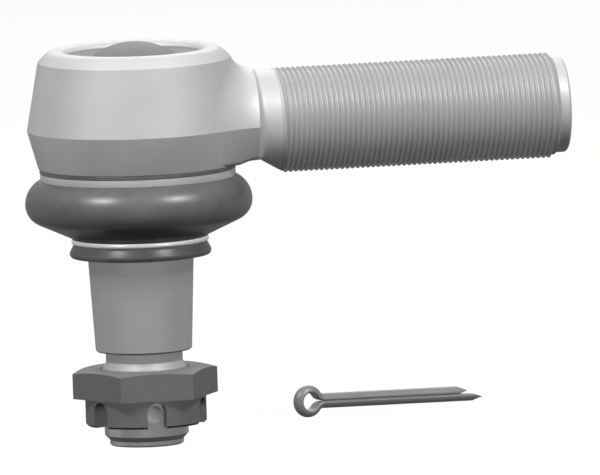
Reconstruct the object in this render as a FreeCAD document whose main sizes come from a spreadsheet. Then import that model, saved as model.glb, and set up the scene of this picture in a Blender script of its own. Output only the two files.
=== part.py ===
import FreeCAD, Part
import math
import os

import Sketcher
from FreeCAD import Placement, Rotation, Vector

# Angle ball joint of a steering linkage, in millimetres.
# The origin is the centre of the ball. +Z points up through the cover, the stud hangs
# down -Z and the threaded shank points along +X.

# Driving dimensions. A name that ends in _depth is a distance below the ball's centre,
# one that ends in _height is a distance above it, and one that ends in _reach is a
# distance from it along the shank.
DIMENSIONS = [
    ("ball_radius", 19.0, "ball of the stud"),
    ("ball_flat_radius", 6.0, "flat turned on the top of the ball"),
    ("stud_neck_radius", 11.0, "stud between ball and taper"),
    ("stud_flare_depth", 20.5, "where the stud starts to widen"),
    ("taper_start_depth", 30.5, "large end of the taper"),
    ("taper_start_radius", 15.45, "radius at the large end of the taper"),
    ("taper_ratio", 10.0, "length of taper for 1 of diameter"),
    ("undercut_radius", 11.0, "run-out groove above the stud's thread"),
    ("stud_thread_radius", 12.0, "outer radius of the stud's thread"),
    ("dog_radius", 10.55, "plain point below the thread"),
    ("dog_edge", 0.4, "chamfer of the plain point"),
    ("pin_hole_radius", 2.5, "cross hole for the split pin"),
    ("pin_hole_depth", 81.3, "axis of the cross hole"),
    ("taper_above_pin", 17.5, "small end of the taper, above the cross hole"),
    ("taper_end_edge", 0.4, "broken edge at the small end of the taper"),
    ("undercut_above_pin", 14.5, "lower end of the run-out groove, above the cross hole"),
    ("thread_above_pin", 12.6, "start of the stud's thread, above the cross hole"),
    ("thread_below_pin", 6.5, "end of the stud's thread, below the cross hole"),
    ("dog_below_pin", 9.5, "lowest face of the stud, below the cross hole"),
    ("ball_clearance", 0.05, "running gap between ball and seats"),
    ("fit_clearance", 0.05, "gap of pieces that are pressed or laid in"),
    ("cut_margin", 1.0, "how far a cut runs past a face"),
    ("seat_bore_radius", 22.0, "bore of the housing for the seats"),
    ("lower_seat_depth", 9.5, "ledge that carries the lower seat"),
    ("seat_gap", 1.0, "gap between the two seats"),
    ("upper_seat_height", 16.2, "top face of the upper seat"),
    ("spring_inner_radius", 12.0, "inner edge of the disc spring, under the cover"),
    ("spring_outer_radius", 21.0, "outer edge of the disc spring, on the upper seat"),
    ("spring_thickness", 1.4, "sheet of the disc spring"),
    ("spring_height", 2.9, "height of the disc spring"),
    ("cover_radius", 23.4, "closing cover"),
    ("cover_thickness", 2.0, "sheet of the closing cover"),
    ("dome_radius", 11.6, "foot of the cover's dome"),
    ("dome_rise", 3.6, "dome above the cover's flat edge"),
    ("seal_thickness", 1.0, "sealing ring under the cover"),
    ("rim_edge_radius", 27.6, "edge between cone and rolled rim"),
    ("rim_edge_drop", 2.2, "that edge, below the top of the cover's flat edge"),
    ("rim_bevel", 1.3, "bevel above that edge"),
    ("rim_roll_radius", 3.6, "curvature of the rolled rim"),
    ("rim_crest_radius", 22.6, "highest circle of the rolled rim"),
    ("rim_crest_rise", 1.7, "that circle, above the top of the cover's flat edge"),
    ("rim_crest_flat", 0.6, "width of the rim's highest place"),
    ("rim_opening_radius", 19.25, "opening that the rolled rim leaves"),
    ("rim_land", 0.3, "upright edge of the rim on the cover"),
    ("rim_inner_round", 3.0, "curvature of the rim towards the cover"),
    ("parting_radius", 31.3, "housing at its parting line"),
    ("parting_depth", 0.5, "parting line of the forging"),
    ("base_radius", 28.35, "lower edge of the housing"),
    ("base_depth", 12.0, "lower face of the housing"),
    ("spigot_radius", 26.0, "spigot that carries the boot"),
    ("spigot_depth", 15.0, "lower end of the spigot"),
    ("mouth_radius", 16.8, "narrowest part of the mouth"),
    ("mouth_end_radius", 19.3, "mouth at the lower end of the spigot"),
    ("neck_half_width", 15.6, "neck at the parting line"),
    ("neck_radius", 15.8, "round top of the neck"),
    ("neck_blend_radius", 10.5, "hollow between housing and neck, seen from above"),
    ("neck_root_radius", 4.0, "hollow between housing and neck, seen from the side"),
    ("neck_end_reach", 33.3, "edge where the neck starts to fall to the collar"),
    ("neck_underside_depth", 10.5, "flat underside of the neck"),
    ("underside_gap", 0.6, "start of the flat underside, from the housing's lower edge"),
    ("underside_run", 3.8, "slope that leads to the flat underside"),
    ("relief_end_reach", 34.5, "end of the flat underside"),
    ("relief_run", 8.0, "slope from the underside out to the thread"),
    ("collar_radius", 14.8, "collar between neck and thread"),
    ("flank_run", 2.0, "slope from the neck's edge down to the collar, along the shank"),
    ("flank_drop", 1.2, "fall of that slope"),
    ("shank_inset", 2.5, "how far the turned shank reaches into the neck"),
    ("shank_radius", 15.0, "outer radius of the shank's thread"),
    ("thread_start_reach", 40.3, "where the shank's thread starts"),
    ("thread_end_reach", 121.1, "where the shank's thread ends"),
    ("thread_pitch", 1.5, "distance between the ridges of the thread"),
    ("thread_depth", 0.92, "height of those ridges"),
    ("thread_crest", 0.2, "width of a ridge's top"),
    ("thread_root", 0.12, "width of the ground between two ridges"),
    ("tip_radius", 13.6, "plain tip of the shank"),
    ("tip_end_reach", 124.3, "end face of the shank"),
    ("tip_round", 0.9, "rounded edge of the tip"),
    ("boot_flange_radius", 28.1, "boot collar above its clamp ring"),
    ("boot_flange_thickness", 0.8, "height of that collar edge"),
    ("upper_ring_radius", 27.95, "outside of the upper clamp ring"),
    ("upper_ring_thickness", 0.7, "sheet of the upper clamp ring"),
    ("upper_ring_width", 1.7, "height of the upper clamp ring"),
    ("boot_gap", 0.1, "gap between boot and the pieces it seals on"),
    ("boot_bulge_radius", 32.5, "widest part of the boot"),
    ("boot_bulge_depth", 21.2, "depth of the widest part"),
    ("boot_bulge_round", 7.8, "curvature of the bulge"),
    ("boot_lower_round", 5.9, "curvature below the widest part"),
    ("boot_wall", 2.2, "rubber wall of the boot"),
    ("boot_shoulder", 1.6, "rubber under the upper clamp ring"),
    ("boot_leave_share", 0.42, "where the underside leaves the bulge, as a share of its curvature"),
    ("boot_foot_radius", 19.7, "boot above the lower clamp ring"),
    ("boot_foot_depth", 30.9, "depth of that place"),
    ("boot_foot_wall", 1.6, "bevel inside the foot"),
    ("boot_step", 0.3, "small steps of the foot beside the lower clamp ring"),
    ("lower_ring_radius", 19.5, "outside of the lower clamp ring"),
    ("lower_ring_thickness", 0.9, "wire of the lower clamp ring"),
    ("lower_ring_depth", 31.4, "top of the lower clamp ring"),
    ("lower_ring_width", 1.4, "height of the lower clamp ring"),
    ("lower_ring_edge", 0.35, "how far the ring's face bulges out"),
    ("lower_ring_round", 0.735, "curvature of that face"),
    ("lip_top_radius", 19.4, "sealing lip under the lower clamp ring"),
    ("lip_radius", 20.4, "widest part of the sealing lip"),
    ("lip_wide_depth", 35.5, "depth of the widest part of the lip"),
    ("lip_edge_radius", 19.85, "sealing lip at its lower face"),
    ("lip_round", 1.4, "curvature between the two"),
    ("lip_end_depth", 36.6, "lower face of the sealing lip"),
    ("nut_across_flats", 36.5, "hexagon of the castle nut"),
    ("nut_lead", 0.1, "gap between the nut and the thread's start"),
    ("nut_hex_height", 8.1, "height of the hexagon"),
    ("nut_height", 16.1, "height of the whole nut"),
    ("nut_castle_radius", 17.3, "round part with the slots"),
    ("nut_face_radius", 17.4, "bearing face of the nut"),
    ("nut_bevel_slope", 0.25, "fall of the hexagon's bevel for 1 outwards"),
    ("nut_thread_clearance", 0.05, "gap between nut and stud thread"),
    ("nut_mouth_bevel", 1.0, "bevel at both ends of the nut's bore"),
    ("nut_edge_bevel", 0.6, "bevel at the castle's lower edge"),
    ("slot_width", 5.6, "slot of the castle nut"),
    ("slot_length", 7.4, "height of a slot"),
    ("pin_wire_radius", 2.3, "half-round wire of the split pin"),
    ("pin_leg_gap", 0.1, "gap between the legs of the split pin"),
    ("pin_eye_radius", 2.3, "inside of the split pin's eye"),
    ("pin_throat_radius", 3.2, "bend between eye and legs"),
    ("pin_long_leg", 57.9, "end of the long leg from the eye's centre"),
    ("pin_short_leg", 52.8, "end of the short leg from the eye's centre"),
    ("pin_point", 2.8, "wedge-shaped end of each leg"),
    ("pin_reach", 55.3, "where the taken-out split pin stands, along the shank"),
    ("pin_offset", 44.2, "where the taken-out split pin stands, behind the stud"),
    ("pin_dip", 2.3, "slope of the legs down to the ground, in degrees"),
    ("pin_turn", 21.4, "turn of the legs away from the shank, seen from above, in degrees"),
]

document = FreeCAD.newDocument("angle_ball_joint")
sheet = document.addObject("Spreadsheet::Sheet", "Sizes")


class Size:
    """A length with its value and the expression of the sheet's cells that gives it."""

    def __init__(self, value, text):
        self.value = value
        self.text = text

    @staticmethod
    def of(thing):
        return thing if isinstance(thing, Size) else Size(float(thing), repr(float(thing)))

    def combine(self, sign, other, value):
        return Size(value, "(%s %s %s)" % (self.text, sign, other.text))

    def __add__(self, other):
        other = Size.of(other)
        return self.combine("+", other, self.value + other.value)

    def __sub__(self, other):
        other = Size.of(other)
        return self.combine("-", other, self.value - other.value)

    def __mul__(self, other):
        other = Size.of(other)
        return self.combine("*", other, self.value * other.value)

    def __truediv__(self, other):
        other = Size.of(other)
        return self.combine("/", other, self.value / other.value)

    def __radd__(self, other):
        return Size.of(other) + self

    def __rsub__(self, other):
        return Size.of(other) - self

    def __rmul__(self, other):
        return Size.of(other) * self

    def __rtruediv__(self, other):
        return Size.of(other) / self

    def __neg__(self):
        return Size(-self.value, "(0 - %s)" % self.text)


def root(size):
    return Size(math.sqrt(size.value), "sqrt(%s)" % size.text)


class Sizes:
    """The driving dimensions, read by their names."""


size = Sizes()
for row, (alias, value, meaning) in enumerate(DIMENSIONS, start=1):
    sheet.set("A%d" % row, meaning)
    sheet.set("B%d" % row, str(value))
    sheet.setAlias("B%d" % row, alias)
    setattr(size, alias, Size(value, "Sizes." + alias))
document.recompute()

ZERO = Size(0.0, "0")

# The cover and the rim stand on the seat and the spring under them.
size.cover_height = (size.upper_seat_height + size.fit_clearance * 2
                     + size.spring_height + size.cover_thickness)
size.rim_edge_height = size.cover_height - size.rim_edge_drop
size.rim_crest_height = size.cover_height + size.rim_crest_rise

# The lower part of the stud is set out from its cross hole.
size.taper_end_depth = size.pin_hole_depth - size.taper_above_pin
size.undercut_end_depth = size.pin_hole_depth - size.undercut_above_pin
size.stud_thread_depth = size.pin_hole_depth - size.thread_above_pin
size.stud_thread_end_depth = size.pin_hole_depth + size.thread_below_pin
size.dog_end_depth = size.pin_hole_depth + size.dog_below_pin


def origin_plane(body, role):
    return next(item for item in body.Origin.OriginFeatures if item.Role == role)


def new_body(name):
    body = document.addObject("PartDesign::Body", name)
    body.Label = name
    return body


def bind(item, prop, length):
    """Set a property of an object from the sheet."""
    item.setExpression(prop, length.text)


def new_sketch(body, name, role, offset=None):
    sketch = body.newObject("Sketcher::SketchObject", name)
    sketch.AttachmentSupport = (origin_plane(body, role), [""])
    sketch.MapMode = "FlatFace"
    if offset is not None:
        bind(sketch, ".AttachmentOffset.Base.z", offset)
    return sketch


def hold(sketch, name, constraint, length):
    """Add a dimension to a sketch and tie it to the sheet."""
    index = sketch.addConstraint(constraint)
    sketch.renameConstraint(index, name)
    bind(sketch, "Constraints." + name, length)


def arc_between(start, end, radius):
    """The short arc from start to end, turning left for a positive radius."""
    chord = end - start
    middle = (start + end) * 0.5
    rise = math.sqrt(max(radius ** 2 - (chord.Length / 2) ** 2, 0.0))
    left = Vector(-chord.y, chord.x, 0).normalize()
    centre = middle + left * math.copysign(rise, radius)
    circle = Part.Circle(centre, Vector(0, 0, 1), abs(radius))
    first, last = (start, end) if radius > 0 else (end, start)
    angles = [math.atan2(point.y - centre.y, point.x - centre.x) for point in (first, last)]
    if angles[1] < angles[0]:
        angles[1] += 2 * math.pi
    return Part.ArcOfCircle(circle, angles[0], angles[1])


def draw(sketch, corners, closed=True):
    """Draw an outline through corners (x, y) or (x, y, radius).

    A radius makes the stretch that starts at its corner an arc, which turns left where
    it is positive and right where it is negative. Every corner and radius follows the sheet.
    """
    corners = [tuple(Size.of(number) for number in corner) for corner in corners]
    points = [Vector(corner[0].value, corner[1].value, 0) for corner in corners]
    count = len(corners) if closed else len(corners) - 1
    ends = []
    for index in range(count):
        start = points[index]
        end = points[(index + 1) % len(points)]
        if len(corners[index]) == 3:
            radius = corners[index][2].value
            sketch.addGeometry(arc_between(start, end, radius), False)
            ends.append((1, 2) if radius > 0 else (2, 1))
        else:
            sketch.addGeometry(Part.LineSegment(start, end), False)
            ends.append((1, 2))
    for index in range(count if closed else count - 1):
        following = (index + 1) % count
        sketch.addConstraint(
            Sketcher.Constraint("Coincident", index, ends[index][1], following, ends[following][0]))
    for index, corner in enumerate(corners):
        edge, end = (index, ends[index][0]) if index < count else (index - 1, ends[index - 1][1])
        for kind, length in (("DistanceX", corner[0]), ("DistanceY", corner[1])):
            name = "%s_%d" % ("across" if kind == "DistanceX" else "along", index)
            hold(sketch, name, Sketcher.Constraint(kind, -1, 1, edge, end, length.value), length)
        if len(corner) == 3 and index < count:
            radius = corner[2] if corner[2].value > 0 else -corner[2]
            hold(sketch, "radius_%d" % index, Sketcher.Constraint("Radius", index, radius.value), radius)
    document.recompute()
    return sketch


def draw_circle(sketch, x, y, radius):
    x, y, radius = Size.of(x), Size.of(y), Size.of(radius)
    sketch.addGeometry(Part.Circle(Vector(x.value, y.value, 0), Vector(0, 0, 1), radius.value), False)
    hold(sketch, "across", Sketcher.Constraint("DistanceX", -1, 1, 0, 3, x.value), x)
    hold(sketch, "along", Sketcher.Constraint("DistanceY", -1, 1, 0, 3, y.value), y)
    hold(sketch, "radius", Sketcher.Constraint("Radius", 0, radius.value), radius)
    document.recompute()
    return sketch


def turned(body, name, corners, axis="V_Axis", cut=False):
    """Turn an outline in the XZ plane about the stud's axis, or the shank's with H_Axis."""
    sketch = draw(new_sketch(body, name + "_outline", "XZ_Plane"), corners)
    kind = "PartDesign::Groove" if cut else "PartDesign::Revolution"
    feature = body.newObject(kind, name)
    feature.Profile = sketch
    feature.ReferenceAxis = (sketch, [axis])
    feature.Angle = 360.0
    document.recompute()
    return feature


def cut_across(body, name, sketch):
    """Cut an outline of the XZ plane right through the body, along Y."""
    feature = body.newObject("PartDesign::Pocket", name)
    feature.Profile = sketch
    feature.Type = "ThroughAll"
    feature.Midplane = True
    document.recompute()
    return feature


def build_housing():
    """The forging: barrel with rolled rim and spigot, neck, collar and threaded shank."""
    s = size
    body = new_body("housing")
    parting = -s.parting_depth

    # Seen from above, hollows of one radius join the round barrel to the neck.
    blend_x = root((s.parting_radius + s.neck_blend_radius) * (s.parting_radius + s.neck_blend_radius)
                   - (s.neck_half_width + s.neck_blend_radius) * (s.neck_half_width + s.neck_blend_radius))
    share = s.parting_radius / (s.parting_radius + s.neck_blend_radius)
    leave_x = blend_x * share
    leave_y = (s.neck_half_width + s.neck_blend_radius) * share
    plan_end = s.relief_end_reach + s.relief_run
    plan = [
        (leave_x, leave_y, s.parting_radius),
        (-s.parting_radius, ZERO, s.parting_radius),
        (leave_x, -leave_y, -s.neck_blend_radius),
        (blend_x, -s.neck_half_width),
        (plan_end, -s.neck_half_width),
        (plan_end, s.neck_half_width),
        (blend_x, s.neck_half_width, -s.neck_blend_radius),
    ]
    halves = [
        ("upper_half", s.rim_edge_height + s.parting_depth, s.rim_edge_radius, False),
        ("lower_half", s.base_depth - s.parting_depth, s.base_radius, True),
    ]
    for name, height, end_radius, downwards in halves:
        sketch = draw(new_sketch(body, name + "_plan", "XY_Plane", parting), plan)
        pad = body.newObject("PartDesign::Pad", name)
        pad.Profile = sketch
        bind(pad, "Length", height)
        pad.Reversed = downwards
        slope = (s.parting_radius - end_radius) / height
        pad.setExpression("TaperAngle", "0 deg - atan(%s)" % slope.text)
        document.recompute()

    # The neck ends at the collar, its underside is flat and its top is round.
    far = s.parting_radius * 2
    neck_end = s.neck_end_reach + s.flank_run
    sketch = draw(new_sketch(body, "neck_end_outline", "XZ_Plane"), [
        (neck_end, -far), (far, -far), (far, far), (neck_end, far)])
    cut_across(body, "neck_end", sketch)
    root_x = s.rim_edge_radius + s.neck_root_radius
    root_z = s.neck_radius + s.neck_root_radius
    half_turn = s.neck_root_radius * math.sqrt(0.5)
    climb = s.rim_edge_radius
    turned(body, "neck_top", [
        (root_x - half_turn - climb, root_z - half_turn + climb),
        (root_x - half_turn, root_z - half_turn, s.neck_root_radius),
        (root_x, s.neck_radius),
        (s.neck_end_reach, s.neck_radius),
        (neck_end, s.neck_radius - s.flank_drop),
        (neck_end + s.cut_margin, s.neck_radius - s.flank_drop),
        (neck_end + s.cut_margin, far),
        (root_x - half_turn - climb, far)], axis="H_Axis", cut=True)

    turned(body, "barrel", [
        (ZERO, -s.spigot_depth),
        (s.spigot_radius, -s.spigot_depth),
        (s.spigot_radius, -s.base_depth),
        (s.base_radius, -s.base_depth),
        (s.parting_radius, parting),
        (s.rim_edge_radius, s.rim_edge_height),
        (s.rim_edge_radius - s.rim_bevel, s.rim_edge_height + s.rim_bevel, s.rim_roll_radius),
        (s.rim_crest_radius, s.rim_crest_height),
        (ZERO, s.rim_crest_height)])

    inside = s.neck_end_reach - s.shank_inset
    turned(body, "shank", [
        (inside, ZERO),
        (inside, s.collar_radius),
        (s.thread_start_reach - (s.shank_radius - s.collar_radius), s.collar_radius),
        (s.thread_start_reach, s.shank_radius),
        (s.thread_end_reach - (s.shank_radius - s.tip_radius), s.shank_radius),
        (s.thread_end_reach, s.tip_radius),
        (s.tip_end_reach - s.tip_round, s.tip_radius, -s.tip_round),
        (s.tip_end_reach, s.tip_radius - s.tip_round),
        (s.tip_end_reach, ZERO)], axis="H_Axis")
    cut_thread(body)

    underside_start = s.base_radius + s.underside_gap
    sketch = draw(new_sketch(body, "underside_outline", "XZ_Plane"), [
        (underside_start, -s.base_depth),
        (underside_start + s.underside_run, -s.neck_underside_depth),
        (s.relief_end_reach, -s.neck_underside_depth),
        (plan_end, -(s.shank_radius + s.fit_clearance)),
        (plan_end, -far),
        (underside_start, -far)])
    cut_across(body, "underside", sketch)

    cover_seat = s.cover_height - s.cover_thickness - s.seal_thickness
    cover_pocket = s.cover_radius + s.fit_clearance
    crest_inside = s.rim_crest_radius - s.rim_crest_flat
    turned(body, "cavity", [
        (ZERO, s.rim_crest_height + s.cut_margin),
        (ZERO, -s.spigot_depth - s.cut_margin),
        (s.mouth_end_radius, -s.spigot_depth - s.cut_margin),
        (s.mouth_end_radius, -s.spigot_depth),
        (s.mouth_radius, -s.lower_seat_depth),
        (s.seat_bore_radius, -s.lower_seat_depth),
        (s.seat_bore_radius, cover_seat),
        (cover_pocket, cover_seat),
        (cover_pocket, s.cover_height),
        (s.rim_opening_radius, s.cover_height),
        (s.rim_opening_radius, s.cover_height + s.rim_land, -s.rim_inner_round),
        (crest_inside, s.rim_crest_height),
        (crest_inside, s.rim_crest_height + s.cut_margin)], cut=True)
    return body


def cut_thread(body):
    """Cut the ground between the ridges of the shank's thread, ring by ring."""
    s = size
    middle = s.thread_start_reach + s.thread_pitch / 2
    root_half = s.thread_root / 2
    top_half = (s.thread_pitch - s.thread_crest) / 2
    above = s.shank_radius + s.fit_clearance
    ring = turned(body, "thread_ring", [
        (middle - top_half, above),
        (middle - root_half, s.shank_radius - s.thread_depth),
        (middle + root_half, s.shank_radius - s.thread_depth),
        (middle + top_half, above)], axis="H_Axis", cut=True)
    pattern = body.newObject("PartDesign::LinearPattern", "thread")
    pattern.Originals = [ring]
    pattern.Direction = (ring.Profile[0], ["H_Axis"])
    pattern.Mode = "Spacing"
    bind(pattern, "Offset", s.thread_pitch)
    length = s.thread_end_reach - s.thread_start_reach
    pattern.setExpression("Occurrences", "floor(%s)" % (length / s.thread_pitch).text)
    body.Tip = pattern
    document.recompute()


def build_stud():
    """Ball, neck, taper, undercut, threaded end and plain point, turned from one bar."""
    s = size
    body = new_body("ball_stud")
    neck_start = root(s.ball_radius * s.ball_radius - s.stud_neck_radius * s.stud_neck_radius)
    flat_height = root(s.ball_radius * s.ball_radius - s.ball_flat_radius * s.ball_flat_radius)
    widening = s.taper_start_radius - s.stud_neck_radius
    flare = s.taper_start_depth - s.stud_flare_depth
    flare_radius = (widening * widening + flare * flare) / (widening * 2)
    taper_end_radius = s.taper_start_radius - (s.taper_end_depth - s.taper_start_depth) / (s.taper_ratio * 2)
    chamfer_end = s.stud_thread_end_depth + (s.stud_thread_radius - s.dog_radius)
    turned(body, "turned_stud", [
        (ZERO, flat_height),
        (ZERO, -s.dog_end_depth),
        (s.dog_radius - s.dog_edge, -s.dog_end_depth),
        (s.dog_radius, -s.dog_end_depth + s.dog_edge),
        (s.dog_radius, -chamfer_end),
        (s.stud_thread_radius, -s.stud_thread_end_depth),
        (s.stud_thread_radius, -s.stud_thread_depth),
        (s.undercut_radius, -s.undercut_end_depth),
        (s.undercut_radius, -s.taper_end_depth - s.taper_end_edge),
        (taper_end_radius - s.taper_end_edge, -s.taper_end_depth),
        (taper_end_radius, -s.taper_end_depth + s.taper_end_edge),
        (s.taper_start_radius, -s.taper_start_depth, -flare_radius),
        (s.stud_neck_radius, -s.stud_flare_depth),
        (s.stud_neck_radius, -neck_start, s.ball_radius),
        (s.ball_flat_radius, flat_height)])
    sketch = draw_circle(new_sketch(body, "pin_hole_outline", "XZ_Plane"),
                         ZERO, -s.pin_hole_depth, s.pin_hole_radius)
    cut_across(body, "pin_hole", sketch)
    return body


def build_seats():
    """Two seat rings that hold the ball, with a gap for wear between them."""
    s = size
    outside = s.seat_bore_radius - s.fit_clearance
    hollow = s.ball_radius + s.ball_clearance
    low = s.lower_seat_depth - s.fit_clearance
    lower = new_body("lower_ball_seat")
    turned(lower, "lower_seat", [
        (root(hollow * hollow - low * low), -low),
        (outside, -low),
        (outside, ZERO),
        (hollow, ZERO, -hollow)])
    upper = new_body("upper_ball_seat")
    turned(upper, "upper_seat", [
        (root(hollow * hollow - s.seat_gap * s.seat_gap), s.seat_gap),
        (outside, s.seat_gap),
        (outside, s.upper_seat_height),
        (root(hollow * hollow - s.upper_seat_height * s.upper_seat_height),
         s.upper_seat_height, -hollow)])
    return [lower, upper]


def build_spring():
    """Disc spring that presses the upper seat on the ball and rests on the cover."""
    s = size
    body = new_body("disc_spring")
    bottom = s.upper_seat_height + s.fit_clearance
    top = s.cover_height - s.cover_thickness - s.fit_clearance
    turned(body, "disc", [
        (s.spring_inner_radius, top - s.spring_thickness),
        (s.spring_outer_radius, bottom),
        (s.spring_outer_radius, bottom + s.spring_thickness),
        (s.spring_inner_radius, top)])
    return body


def build_cover():
    """Domed closing cover, held by the rolled rim, and the sealing ring under it."""
    s = size
    under = s.cover_height - s.cover_thickness
    cover = new_body("closing_cover")
    dome_top = s.cover_height + s.dome_rise
    dome_curve = (s.dome_radius * s.dome_radius + s.dome_rise * s.dome_rise) / (s.dome_rise * 2)
    under_curve = dome_curve - s.cover_thickness
    under_height = dome_top - dome_curve
    under_radius = root(under_curve * under_curve - (under - under_height) * (under - under_height))
    turned(cover, "pressed_cover", [
        (ZERO, dome_top - s.cover_thickness, -under_curve),
        (under_radius, under),
        (s.cover_radius, under),
        (s.cover_radius, s.cover_height),
        (s.dome_radius, s.cover_height, dome_curve),
        (ZERO, dome_top)])
    ring = new_body("cover_seal_ring")
    turned(ring, "seal_ring", [
        (s.seat_bore_radius + s.fit_clearance, under - s.seal_thickness + s.fit_clearance),
        (s.cover_radius, under - s.seal_thickness + s.fit_clearance),
        (s.cover_radius, under - s.fit_clearance),
        (s.seat_bore_radius + s.fit_clearance, under - s.fit_clearance)])
    return [cover, ring]


def build_boot():
    """Rubber dust boot with its collar, bulge, foot and sealing lip, moulded in one."""
    s = size
    body = new_body("dust_boot")
    top = s.base_depth + s.boot_gap
    collar = s.spigot_radius + s.boot_gap
    groove = s.upper_ring_radius - s.upper_ring_thickness - s.boot_gap
    groove_top = top + s.boot_flange_thickness
    groove_end = groove_top + s.upper_ring_width + s.boot_gap
    bulge_x = s.boot_bulge_radius - s.boot_bulge_round
    lower_x = s.boot_bulge_radius - s.boot_lower_round
    inner_round = s.boot_bulge_round - s.boot_wall
    inner_lower_round = s.boot_lower_round - s.boot_wall
    inner_start = groove_end + s.boot_shoulder

    def bulge_at(depth, radius):
        fall = s.boot_bulge_depth - depth
        return bulge_x + root(radius * radius - fall * fall)

    # The straight underside runs from the foot to where it touches the bulge.
    share = s.boot_leave_share
    share_down = root(1 - share * share)
    leave_x = lower_x + s.boot_lower_round * share
    leave_y = s.boot_bulge_depth + s.boot_lower_round * share_down
    inner_leave_x = lower_x + inner_lower_round * share
    inner_leave_y = s.boot_bulge_depth + inner_lower_round * share_down
    waist = s.lower_ring_radius - s.lower_ring_thickness - s.boot_gap
    waist_end = s.lower_ring_depth + s.lower_ring_width + s.boot_gap
    slope = 1 / (s.taper_ratio * 2)
    lip_bore = s.taper_start_radius - (s.lip_end_depth - s.taper_start_depth) * slope + s.boot_gap
    bore_top = s.boot_foot_depth + s.boot_step
    top_bore = s.taper_start_radius - (bore_top - s.taper_start_depth) * slope + s.boot_gap
    turned(body, "moulded_boot", [
        (collar, -top),
        (collar, -(groove_end + s.boot_shoulder / 2)),
        (bulge_at(inner_start, inner_round), -inner_start, -inner_round),
        (s.boot_bulge_radius - s.boot_wall, -s.boot_bulge_depth, -inner_lower_round),
        (inner_leave_x, -inner_leave_y),
        (top_bore + s.boot_foot_wall, -(bore_top - s.boot_foot_wall)),
        (top_bore, -bore_top),
        (lip_bore, -s.lip_end_depth),
        (s.lip_edge_radius, -s.lip_end_depth, s.lip_round),
        (s.lip_radius, -s.lip_wide_depth),
        (s.lip_top_radius, -(waist_end + s.boot_step)),
        (waist, -waist_end),
        (waist, -(s.lower_ring_depth - s.boot_gap)),
        (s.lower_ring_radius, -(s.lower_ring_depth - s.boot_gap)),
        (s.boot_foot_radius, -s.boot_foot_depth),
        (leave_x, -leave_y, s.boot_lower_round),
        (s.boot_bulge_radius, -s.boot_bulge_depth, s.boot_bulge_round),
        (bulge_at(groove_end, s.boot_bulge_round), -groove_end),
        (groove, -groove_end),
        (groove, -groove_top),
        (s.boot_flange_radius, -groove_top),
        (s.boot_flange_radius, -top)])
    return body


def build_clamp_rings():
    """The band that holds the boot on the housing and the ring that holds it on the stud."""
    s = size
    top = s.base_depth + s.boot_gap + s.boot_flange_thickness + s.fit_clearance
    inside = s.upper_ring_radius - s.upper_ring_thickness
    upper = new_body("upper_clamp_ring")
    turned(upper, "band", [
        (inside, -top),
        (inside, -(top + s.upper_ring_width)),
        (s.upper_ring_radius, -(top + s.upper_ring_width)),
        (s.upper_ring_radius, -top)])
    lower = new_body("lower_clamp_ring")
    inside = s.lower_ring_radius - s.lower_ring_thickness
    edge = s.lower_ring_radius - s.lower_ring_edge
    end = s.lower_ring_depth + s.lower_ring_width
    turned(lower, "wire_ring", [
        (inside, -s.lower_ring_depth),
        (inside, -end),
        (edge, -end, s.lower_ring_round),
        (edge, -s.lower_ring_depth)])
    return [upper, lower]


def build_nut():
    """Castle nut: hexagon with a bevelled bearing side, and a round part with six slots."""
    s = size
    body = new_body("castle_nut")
    top = s.stud_thread_depth + s.nut_lead
    hex_end = top + s.nut_hex_height
    end = top + s.nut_height
    half = s.nut_across_flats / 2
    corner = half * (2 / math.sqrt(3))
    side = corner / 2
    sketch = draw(new_sketch(body, "hexagon_outline", "XY_Plane", -top), [
        (corner, ZERO), (side, half), (-side, half), (-corner, ZERO), (-side, -half), (side, -half)])
    pad = body.newObject("PartDesign::Pad", "hexagon")
    pad.Profile = sketch
    bind(pad, "Length", s.nut_hex_height)
    pad.Reversed = True
    document.recompute()
    margin = s.cut_margin
    outer = corner + margin
    turned(body, "bearing_bevel", [
        (s.nut_face_radius, -top),
        (outer, -(top + (outer - s.nut_face_radius) * s.nut_bevel_slope)),
        (outer, -top + margin),
        (s.nut_face_radius, -top + margin)], cut=True)
    turned(body, "castle", [
        (ZERO, -hex_end + margin),
        (ZERO, -end),
        (s.nut_castle_radius - s.nut_edge_bevel, -end),
        (s.nut_castle_radius, -end + s.nut_edge_bevel),
        (s.nut_castle_radius, -hex_end + margin)])
    bore = s.stud_thread_radius + s.nut_thread_clearance
    mouth = bore + s.nut_mouth_bevel + margin
    turned(body, "threaded_bore", [
        (ZERO, -top + margin),
        (ZERO, -end - margin),
        (mouth, -end - margin),
        (bore, -end + s.nut_mouth_bevel),
        (bore, -top - s.nut_mouth_bevel),
        (mouth, -top + margin)], cut=True)
    slot_half = s.slot_width / 2
    shoulder = end - s.slot_length + slot_half
    sketch = draw(new_sketch(body, "slot_outline", "XZ_Plane"), [
        (slot_half, -shoulder, slot_half),
        (ZERO, -(shoulder - slot_half), slot_half),
        (-slot_half, -shoulder),
        (-slot_half, -end - margin),
        (slot_half, -end - margin)])
    slot = cut_across(body, "slot", sketch)
    pattern = body.newObject("PartDesign::PolarPattern", "slots")
    pattern.Originals = [slot]
    pattern.Axis = (sketch, ["V_Axis"])
    pattern.Angle = 360.0
    pattern.Occurrences = 3
    body.Tip = pattern
    document.recompute()
    return body


def half_round(point, round_side, radius):
    """Section of half-round wire, with the middle of its flat side at a point."""
    one = point + Vector(0, radius, 0)
    other = point - Vector(0, radius, 0)
    arc = Part.Arc(one, point + round_side * radius, other).toShape()
    return Part.Face(Part.Wire([arc, Part.makeLine(other, one)]))


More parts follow.
